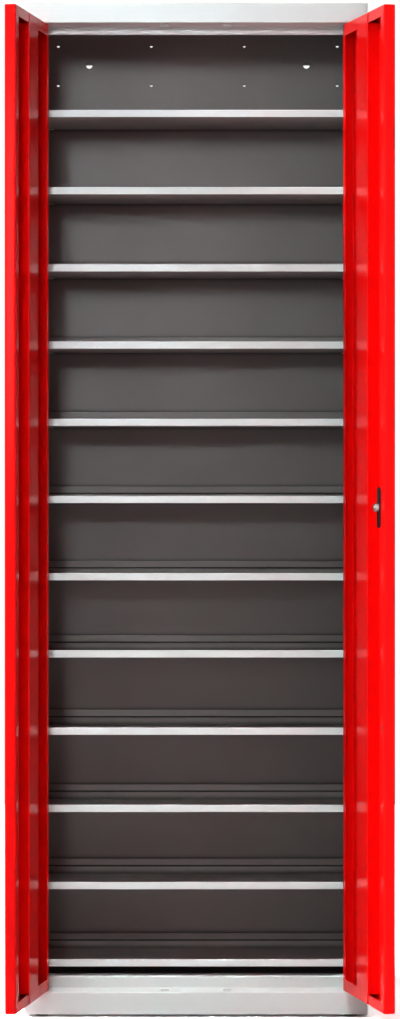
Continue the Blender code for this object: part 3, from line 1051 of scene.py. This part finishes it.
@dataclass
class Shelves:
    """Tray shelves with a pale strip over their front lip."""

    sizes: BodySizes
    first: float = 0.088
    pitch: float = 0.150
    count: int = 12
    setback: float = 0.070
    half_width: float = 0.3032
    rear: float = 0.1587
    upstand: float = 0.031
    hem_height: float = 0.0127
    hem_depth: float = 0.0035
    hem_width: float = 0.0030
    hem_bend: float = 0.00045
    groove: float = 0.0026
    groove_rise: float = 0.0054
    jog_bend: float = 0.0007
    wall_step: float = 0.0005
    rear_clearance: float = 0.0008
    end_flange: float = 0.008
    trim_height: float = 0.014
    trim_return: float = 0.005
    trim_bend: float = 0.0006
    body: str = "carcass"

    @property
    def levels(self) -> list[float]:
        """The shelves' heights."""
        return [self.first + self.pitch * number for number in range(self.count)]

    @property
    def trim_front(self) -> float:
        """Y of the strips' front."""
        return self.sizes.front + self.setback

    @property
    def lip_front(self) -> float:
        """Y of the trays' front lip."""
        return self.trim_front + self.sizes.sheet + self.sizes.gap

    def build(self) -> None:
        """Build and dress every tray and strip."""
        tray, trim = self.tray(), self.trim()
        for number, level in enumerate(self.levels, start=1):
            place = Matrix.Translation((0, 0, level))
            name = f"shelf_tray_{number:02d}"
            add_piece(name + "_sheet", tray, TRAY_COAT, self.body, name, place)
            name = f"shelf_trim_{number:02d}"
            add_piece(name + "_strip", trim, GREY_COAT, self.body, name, place, softened=SOFT_EDGE)

    def tray(self) -> Mesh:
        """A tray at level zero, with front lip, grooved rear wall, forward hem and low ends.

        Returns:
            The tray's mesh.
        """
        s = self.sizes
        hem = self.rear - self.hem_depth
        hem_rear = hem + self.hem_width
        wall = hem + self.wall_step + s.sheet
        rear = s.back_panel_front - self.rear_clearance
        shoulder = self.upstand - self.hem_height - self.groove
        path = [
            (self.lip_front, self.trim_height - s.sheet - s.gap),
            (self.lip_front, 0),
            (wall, 0),
            (wall, shoulder - s.sheet),
            (rear, shoulder - s.sheet),
            (rear, shoulder + self.groove_rise),
            (hem_rear, shoulder + self.groove_rise),
            (hem_rear, self.upstand),
            (hem, self.upstand),
            (hem, self.upstand - self.hem_height),
        ]
        jogs = [self.jog_bend] * 4
        bends = [s.bend, s.bend, *jogs, self.hem_bend, self.hem_bend]
        pan = prism(fold(path, s.sheet, bends), Axis.X, -self.half_width, self.half_width)
        run = (self.lip_front + s.sheet / 2, wall - s.sheet / 2)
        rise = (s.sheet / 2, self.end_flange)
        edge = self.half_width - s.gap
        ends = joined(
            block(sorted((side.value * edge, side.value * (edge - s.sheet))), run, rise) for side in Side
        )
        return shaped(pan, ("UNION", ends))

    def trim(self) -> Mesh:
        """A strip at level zero that caps a tray's front lip.

        Returns:
            The strip's mesh.
        """
        s = self.sizes
        rear = self.lip_front + 2 * s.sheet + s.gap
        path = [
            (self.trim_front, 0),
            (self.trim_front, self.trim_height),
            (rear, self.trim_height),
            (rear, self.trim_height - self.trim_return),
        ]
        return prism(fold(path, -s.sheet, self.trim_bend), Axis.X, -self.half_width, self.half_width)


@dataclass
class Feet:
    """Levelling feet with a grooved pad, a hexagon collar and a stud."""

    sizes: BodySizes
    inset_side: float = 0.032
    inset_end: float = 0.030
    radius: float = 0.0135
    pad_height: float = 0.005
    chamfer: float = 0.0015
    collar_radius: float = 0.0075
    collar_top: float = 0.0117
    stud_radius: float = 0.004
    stud_top: float = 0.027
    stud_chamfer: float = 0.0008
    groove_radius: float = 0.0006
    groove_count: int = 30

    def build(self) -> None:
        """Build and dress the four feet."""
        s = self.sizes
        mesh = self.foot()
        for end, along in (("front", s.front + self.inset_end), ("rear", s.back - self.inset_end)):
            for side in Side:
                name = f"foot_{end}_{side.word}"
                place = Matrix.Translation((side.value * (s.width / 2 - self.inset_side), along, 0))
                add_piece(name + "_moulding", mesh, FOOT_PLASTIC, name + "_body", name, place)

    def foot(self) -> Mesh:
        """One foot at the origin.

        Returns:
            The foot's mesh.
        """
        overlap, bulge = self.chamfer / 2, CORNER_BULGE * self.chamfer
        pad = turned(
            [
                (0, 0),
                (self.radius - self.chamfer / 3, 0),
                (self.radius, self.chamfer / 3),
                (self.radius, self.pad_height - self.chamfer),
                (self.radius - bulge, self.pad_height - bulge),
                (self.radius - self.chamfer, self.pad_height),
                (self.stud_radius, self.pad_height),
                (self.stud_radius, self.stud_top - self.stud_chamfer),
                (self.stud_radius - self.stud_chamfer, self.stud_top),
                (0, self.stud_top),
            ]
        )
        low, high = -self.chamfer, self.pad_height + self.chamfer
        grooves = joined(
            drum(self.groove_radius, low, high, Matrix.Translation((*point, 0)))
            for point in polygon(self.radius, self.groove_count)
        )
        hexagon = polygon(self.collar_radius, HEXAGON)
        collar = prism(hexagon, Axis.Z, self.pad_height - overlap, self.collar_top)
        return shaped(pad, ("DIFFERENCE", grooves), ("UNION", collar))


@dataclass
class Door:
    """A folded door on its pivots, modelled closed and turned open."""

    sizes: BodySizes
    side: Side
    opened: float
    thickness: float = 0.022
    gap_hinge: float = 0.0075
    gap_ends: float = 0.0014
    gap_centre: float = 0.003
    hinge_lip: float = 0.020
    free_lip: float = 0.024
    end_lip: float = 0.020
    hinge_radius: float = 0.0025
    free_radius: float = 0.0045
    end_radius: float = 0.0016
    stiffener_start: float = 0.109
    stiffener_width: float = 0.081
    arm_start: float = 0.022
    arm_height: float = 0.0235
    arm_edge: float = 0.0015
    pivot_inset: float = 0.0105
    pivot_radius: float = 0.004
    pivot_reach: float = 0.008
    collar_radius: float = 0.010
    head_radius: float = 0.007
    head_height: float = 0.002

    @property
    def body(self) -> str:
        """The body that the door's pieces ride on."""
        return f"{self.side.word}_door"

    @property
    def name(self) -> str:
        """The start of the names of the door's solids."""
        return f"door_{self.side.word}"

    @property
    def outer(self) -> float:
        """X of the closed right door's hinge edge."""
        return self.sizes.stile_inner - self.gap_hinge

    @property
    def width(self) -> float:
        """The door's width."""
        return self.outer - self.gap_centre / 2

    @property
    def bottom(self) -> float:
        """Z of the door's lower edge."""
        return self.sizes.base_top + self.gap_ends

    @property
    def top(self) -> float:
        """Z of the door's upper edge."""
        return self.sizes.header_bottom - self.gap_ends

    @property
    def place(self) -> Matrix:
        """From the door's own frame, with its pivot on the origin, to the open door.

        Returns:
            The matrix.
        """
        sign = self.side.value
        pivot = (sign * (self.outer - self.pivot_inset), self.sizes.front + self.thickness / 2, 0)
        return Matrix.Translation(pivot) @ Matrix.Rotation(math.radians(sign * self.opened), 4, "Z")

    def across(self, distance: float) -> float:
        """X in the door's frame of a distance from its hinge edge."""
        return -self.side.value * (distance - self.pivot_inset)

    def span(self, first: float, second: float) -> list[float]:
        """Low and high X in the door's frame of two distances from its hinge edge."""
        return sorted((self.across(first), self.across(second)))

    def build(self) -> None:
        """Build and dress the door's pieces."""
        for part, mesh in (("pan", self.pan()), ("stiffener", self.stiffener())):
            name = f"{self.name}_{part}"
            add_piece(name + "_sheet", mesh, RED_COAT, self.body, name, self.place)
        for end in ("lower", "upper"):
            name = f"{self.name}_pivot_{end}"
            add_piece(name + "_pin", self.pivot(end == "upper"), BLACK_OXIDE, self.body, name, self.place)

    def edge_radii(self, inset: float) -> list[float]:
        """Radii of the upright edges at low X and high X, for a skin an inset below the outer one."""
        radii = [self.hinge_radius - inset, self.free_radius - inset]
        return radii if self.side is Side.LEFT else radii[::-1]

    def pan(self) -> Mesh:
        """The folded pan: skin, walls and lips.

        Returns:
            The pan's mesh.
        """
        s = self.sizes
        half = self.thickness / 2
        outer = rounded_block(
            self.span(0, self.width),
            (-half, half),
            (self.bottom, self.top),
            self.edge_radii(0),
            self.end_radius,
        )
        hollow = rounded_block(
            self.span(s.sheet, self.width - s.sheet),
            (-half + s.sheet, half - s.sheet),
            (self.bottom + s.sheet, self.top - s.sheet),
            self.edge_radii(s.sheet),
            self.end_radius - s.sheet,
        )
        mouth = rounded_block(
            self.span(self.hinge_lip, self.width - self.free_lip),
            (half - 2 * s.sheet, half + s.sheet),
            (self.bottom + self.end_lip, self.top - self.end_lip),
            CUT_EDGES,
            SOFT_EDGE,
        )
        return shaped(outer, ("DIFFERENCE", hollow), ("DIFFERENCE", mouth))

    def stiffener(self) -> Mesh:
        """The channel down the door's inside, with an arm to the hinge side at each end.

        Returns:
            The stiffener's mesh.
        """
        s = self.sizes
        half = self.thickness / 2
        face = half + s.gap
        start, end = self.stiffener_start, self.stiffener_start + self.stiffener_width
        low, high = self.bottom + self.arm_edge, self.top - self.arm_edge
        deep = -half + s.sheet + s.gap
        path = [(self.across(start), deep), (self.across(start), face + s.sheet)]
        path += [(self.across(end), face + s.sheet), (self.across(end), deep)]
        outline = fold(path, self.side.value * s.sheet, s.bend)
        channel_low, channel_high = self.bottom + self.end_lip + s.gap, self.top - self.end_lip - s.gap
        channel = prism(outline, Axis.Z, channel_low, channel_high)
        root, tip = start + 3 * s.sheet, end - s.sheet
        arms = []
        for edge, arm_end, inner in (
            (low, self.bottom + self.arm_height, channel_low + s.sheet),
            (high, self.top - self.arm_height, channel_high - s.sheet),
        ):
            shape = [(self.arm_start, edge), (tip, edge), (tip, inner)]
            shape += [(root, inner), (root, arm_end), (self.arm_start, arm_end)]
            outline = [(self.across(distance), level) for distance, level in shape]
            arms.append(prism(outline, Axis.Y, face, face + s.sheet))
        return shaped(channel, *(("UNION", arm) for arm in arms))

    def pivot(self, upper: bool) -> Mesh:
        """A riveted pivot: pin, collar in the gap, shank and head inside the pan.

        Args:
            upper: whether it is the upper pivot.

        Returns:
            The pivot's mesh.
        """
        s = self.sizes
        base = s.base_top
        head = self.bottom + s.sheet + s.gap
        profile = [
            (0, base - self.pivot_reach),
            (self.pivot_radius - s.sheet / 2, base - self.pivot_reach),
            (self.pivot_radius, base - self.pivot_reach + s.sheet / 2),
            (self.pivot_radius, base + s.gap),
            (self.collar_radius, base + s.gap),
            (self.collar_radius, self.bottom - s.gap),
            (self.pivot_radius, self.bottom - s.gap),
            (self.pivot_radius, head),
            (self.head_radius, head),
            (self.head_radius, head + self.head_height / 2),
            (self.head_radius - self.head_height / 2, head + self.head_height),
            (0, head + self.head_height),
        ]
        if upper:
            profile = [(radius, self.bottom + self.top - level) for radius, level in profile]
        return turned(profile)


@dataclass
class CamLock:
    """A key lock through the right door: barrel and nut in the skin, plug, cam and nut that turn."""

    door: Door
    height: float = 0.983
    inset: float = 0.030
    barrel_radius: float = 0.009
    barrel_length: float = 0.017
    flange_radius: float = 0.0135
    flange_thickness: float = 0.0025
    nut_radius: float = 0.014
    nut_thickness: float = 0.005
    plug_radius: float = 0.006
    plug_proud: float = 0.0005
    keyway_width: float = 0.0016
    keyway_height: float = 0.008
    keyway_depth: float = 0.006
    spindle_radius: float = 0.004
    spindle_end: float = 0.0007
    cam_length: float = 0.076
    cam_width: float = 0.016
    cam_thickness: float = 0.003
    cam_clearance: float = 0.0005
    cam_nut_radius: float = 0.008
    cam_nut_length: float = 0.0075
    cam_nut_crown: float = 0.0016
    cam_nut_bulge: Point = (0.0005, 0.0006)
    bore_edge: float = 0.0006
    plug_edge: float = 0.0005
    spindle_edge: float = 0.0006
    soft_edge: float = 0.0004
    body: str = "lock"

    @property
    def place(self) -> Matrix:
        """From the lock's own frame, with Y along its spindle, to the open door."""
        spindle = (self.door.across(self.door.width - self.inset), 0, self.height)
        return self.door.place @ Matrix.Translation(spindle)

    @property
    def skin(self) -> float:
        """Depth of the door's outer face."""
        return -self.door.thickness / 2

    @property
    def cam_face(self) -> float:
        """Depth of the cam's face on the door's side."""
        return self.door.thickness / 2 + self.cam_clearance

    @property
    def cam_nut_face(self) -> float:
        """Depth of the cam nut's face on the cam."""
        return self.cam_face + self.cam_thickness + self.door.sizes.gap

    def build(self) -> None:
        """Build and dress the lock's pieces."""
        pieces = (
            ("lock_barrel", "turning", self.barrel(), ZINC_PLATE, self.door.body, 0.0),
            ("lock_nut", "hexagon", self.nut(), ZINC_PLATE, self.door.body, self.soft_edge),
            ("lock_plug", "turning", self.plug(), ZINC_PLATE, self.body, 0.0),
            ("lock_cam", "bar", self.cam(), BLACK_OXIDE, self.body, self.soft_edge),
            ("lock_cam_nut", "turning", self.cam_nut(), ZINC_PLATE, self.body, 0.0),
        )
        for node, form, mesh, finish, body, softened in pieces:
            add_piece(f"{node}_{form}", mesh, finish, body, node, self.place, softened)

    def barrel(self) -> Mesh:
        """The flanged barrel with its bore for the plug.

        Returns:
            The barrel's mesh.
        """
        gap, sheet = self.door.sizes.gap, self.door.sizes.sheet
        face = self.skin - gap - self.flange_thickness
        end = self.skin + self.barrel_length
        bore = self.plug_radius + gap
        bulge = CORNER_BULGE * sheet
        profile = [
            (bore, face + self.bore_edge),
            (bore + self.bore_edge, face),
            (self.flange_radius - sheet, face),
            (self.flange_radius - bulge, face + bulge),
            (self.flange_radius, face + sheet),
            (self.flange_radius, self.skin - gap),
            (self.barrel_radius, self.skin - gap),
            (self.barrel_radius, end - sheet / 2),
            (self.barrel_radius - sheet / 2, end),
            (bore, end),
            (bore, face + self.bore_edge),
        ]
        return turned(profile, ALONG_Y)

    def nut(self) -> Mesh:
        """The hexagon nut that holds the barrel.

        Returns:
            The nut's mesh.
        """
        gap, sheet = self.door.sizes.gap, self.door.sizes.sheet
        face = self.skin + sheet + gap
        end = face + self.nut_thickness
        nut = prism(polygon(self.nut_radius, HEXAGON), Axis.Y, face, end)
        bore = drum(self.barrel_radius + gap, face - sheet, end + sheet, ALONG_Y)
        return shaped(nut, ("DIFFERENCE", bore))

    def plug(self) -> Mesh:
        """The key plug with its keyway and spindle.

        Returns:
            The plug's mesh.
        """
        gap, sheet = self.door.sizes.gap, self.door.sizes.sheet
        face = self.skin - gap - self.flange_thickness - self.plug_proud
        end = self.skin + self.barrel_length + gap
        tip = self.cam_nut_face + self.cam_nut_length + self.spindle_end
        profile = [
            (0, face),
            (self.plug_radius - self.plug_edge, face),
            (self.plug_radius, face + self.plug_edge),
            (self.plug_radius, end),
            (self.spindle_radius, end),
            (self.spindle_radius, tip - self.spindle_edge),
            (self.spindle_radius - self.spindle_edge, tip),
            (0, tip),
        ]
        keyway = block(
            around(0, self.keyway_width),
            (face - sheet, face + self.keyway_depth),
            around(0, self.keyway_height),
        )
        return shaped(turned(profile, ALONG_Y), ("DIFFERENCE", keyway))

    def cam(self) -> Mesh:
        """The cam bar with round ends.

        Returns:
            The cam's mesh.
        """
        gap, sheet = self.door.sizes.gap, self.door.sizes.sheet
        straight, radius = (self.cam_length - self.cam_width) / 2, self.cam_width / 2
        turns = [math.pi * step / (2 * BEND_STEPS) for step in range(2 * BEND_STEPS + 1)]
        top = [(radius * math.cos(turn), straight + radius * math.sin(turn)) for turn in turns]
        bottom = [(-across, -level) for across, level in top]
        bar = prism(top + bottom, Axis.Y, self.cam_face, self.cam_face + self.cam_thickness)
        bore = drum(self.spindle_radius + gap, self.cam_face - sheet, self.cam_nut_face + sheet, ALONG_Y)
        return shaped(bar, ("DIFFERENCE", bore))

    def cam_nut(self) -> Mesh:
        """The bright nut on the spindle's end.

        Returns:
            The nut's mesh.
        """
        low, high = self.cam_nut_face, self.cam_nut_face + self.cam_nut_length
        bore = self.spindle_radius + self.door.sizes.gap
        bulge_in, bulge_down = self.cam_nut_bulge
        profile = [
            (bore, low),
            (self.cam_nut_radius, low),
            (self.cam_nut_radius, high - self.cam_nut_crown),
            (self.cam_nut_radius - bulge_in, high - bulge_down),
            (self.cam_nut_radius - self.cam_nut_crown, high),
            (bore, high),
            (bore, low),
        ]
        return turned(profile, ALONG_Y)


@dataclass(frozen=True)
class Softbox:
    """A soft rectangular lamp."""

    name: str
    place: Place
    target: Place
    width: float
    height: float
    power: float
    colour: Colour = PLAIN_LIGHT
    spread: float = 180.0

    def build(self) -> None:
        """Add the lamp to the scene."""
        lamp = bpy.data.lights.new(self.name, "AREA")
        lamp.shape = "RECTANGLE"
        lamp.size = self.width
        lamp.size_y = self.height
        lamp.energy = self.power
        lamp.color = self.colour
        lamp.spread = math.radians(self.spread)
        holder = placed(self.name, lamp)
        holder.location = self.place
        holder.visible_glossy = self.spread >= MIRRORED_SPREAD
        direction = Vector(self.target) - Vector(self.place)
        holder.rotation_euler = direction.to_track_quat("-Z", "Y").to_euler()
        LOG.info("%s lights the cabinet", self.name)


LAMPS: tuple[Softbox, ...] = (
    Softbox("overhead_softbox", (-0.6, -3.2, 8.0), (0.0, -0.2, 1.0), 2.6, 2.0, 75.0, KEY_LIGHT),
    Softbox("low_key_softbox", (-0.5, -2.6, 6.0), (-0.08, -0.25, 0.30), 1.2, 1.0, 5.0, KEY_LIGHT, 16.0),
    Softbox("upper_softbox", (-0.58, -5.6, 2.35), (-0.18, 0.16, 1.62), 0.8, 1.2, 1.9, COOL_LIGHT, 13.5),
    Softbox("hem_softbox", (-1.0, -6.5, 3.7), (-0.22, 0.10, 0.48), 0.8, 0.4, 0.48, KEY_LIGHT, 10.5),
    Softbox("lower_softbox", (-0.75, -7.0, 0.40), (-0.22, 0.16, 0.50), 0.8, 0.5, 0.29, PLAIN_LIGHT, 12.5),
    Softbox("left_panel", (-2.55, -6.0, 1.75), (0.0, -0.3, 1.2), 0.8, 1.2, 18.0, KEY_LIGHT),
    Softbox("side_softbox", (-6.4, -2.4, 6.2), (0.33, -0.3, 1.0), 2.0, 2.0, 670.0),
    Softbox("right_edge_strip", (-1.2, -6.2, 1.0), (0.42, -0.45, 1.0), 0.12, 2.2, 1.6, PLAIN_LIGHT, 2.0),
)


@dataclass
class Studio:
    """Pale floor, white surroundings, soft lamps and the camera."""

    frame_width: int = 400
    frame_height: int = 1019
    focal_pixels: float = 3440.0
    centre_pixel: Point = (235.0, 466.0)
    camera_place: Place = (0.075, -6.777, 1.060)
    sensor: float = 36.0
    floor_reach: float = 8.0
    floor_shade: float = 0.86
    floor_seen: float = 6.0
    room_front: float = 0.04
    room_back: float = 0.35
    room_fade: Span = (0.1, 0.8)
    lamps: Sequence[Softbox] = LAMPS

    def build(self) -> None:
        """Build the whole studio."""
        self.build_floor()
        self.build_surroundings()
        for lamp in self.lamps:
            lamp.build()
        self.build_camera()
        bpy.context.scene.view_settings.view_transform = "Standard"

    def build_floor(self) -> None:
        """A pale floor that keeps the cabinet's shadow and reads white to the camera."""
        reach = self.floor_reach / 2
        bm = bmesh.new()
        corners = [(-reach, -reach), (reach, -reach), (reach, reach), (-reach, reach)]
        bm.faces.new([bm.verts.new((across, along, 0.0)) for across, along in corners])
        floor = placed("studio_floor", mesh_of(bm))
        material, bench, matt = new_surface("pale_floor", "ShaderNodeBsdfDiffuse")
        pale = bench.between(bench.seen_directly(), self.floor_shade, 1.0, FULL_RANGE)
        camera_ray = bench.add("ShaderNodeLightPath").outputs["Is Camera Ray"]
        lifted = bench.between(camera_ray, 1.0, self.floor_seen, FULL_RANGE)
        bench.join(bench.combine("MULTIPLY", pale, lifted), matt.inputs["Color"])
        floor.data.materials.append(material)

    def build_surroundings(self) -> None:
        """A world that is white to the camera and dimmer on the lamps' side of the room."""
        world = bpy.data.worlds.new("studio_room")
        bpy.context.scene.world = world
        world.use_nodes = True
        bench = NodeBench(world.node_tree)
        parts = bench.add("ShaderNodeSeparateXYZ")
        bench.join(bench.add("ShaderNodeTexCoord").outputs["Generated"], parts.inputs[0])
        level = bench.between(parts.outputs["Y"], self.room_front, self.room_back, self.room_fade)
        background = bench.add("ShaderNodeBackground")
        background.inputs["Color"].default_value = (*PLAIN_LIGHT, 1.0)
        bench.join(bench.combine("MAXIMUM", bench.seen_directly(), level), background.inputs["Strength"])
        output = bench.add("ShaderNodeOutputWorld")
        bench.join(background.outputs[0], output.inputs["Surface"])

    def build_camera(self) -> None:
        """The photograph's camera: level, square to the front, a little right of the middle."""
        camera = bpy.data.cameras.new("photo_camera")
        camera.sensor_width = self.sensor
        camera.lens = self.focal_pixels / self.frame_height * self.sensor
        camera.shift_x = (self.frame_width / 2 - self.centre_pixel[0]) / self.frame_height
        camera.shift_y = (self.centre_pixel[1] - self.frame_height / 2) / self.frame_height
        camera.dof.use_dof = False
        holder = placed("photo_camera", camera)
        holder.location = self.camera_place
        holder.rotation_euler = (math.pi / 2, 0, 0)
        bpy.context.scene.camera = holder


def main() -> None:
    """Build the studio and every sub-assembly in order."""
    logging.basicConfig(level=logging.INFO, format="%(message)s")
    sizes = BodySizes()
    Studio().build()
    Carcass(sizes).build()
    shelves = Shelves(sizes)
    Uprights(sizes, shelves.levels, shelves.trim_front).build()
    shelves.build()
    Feet(sizes).build()
    doors = {side: Door(sizes, side, opened) for side, opened in DOOR_OPENED.items()}
    for door in doors.values():
        door.build()
    CamLock(doors[Side.RIGHT]).build()


if __name__ == "__main__":
    main()
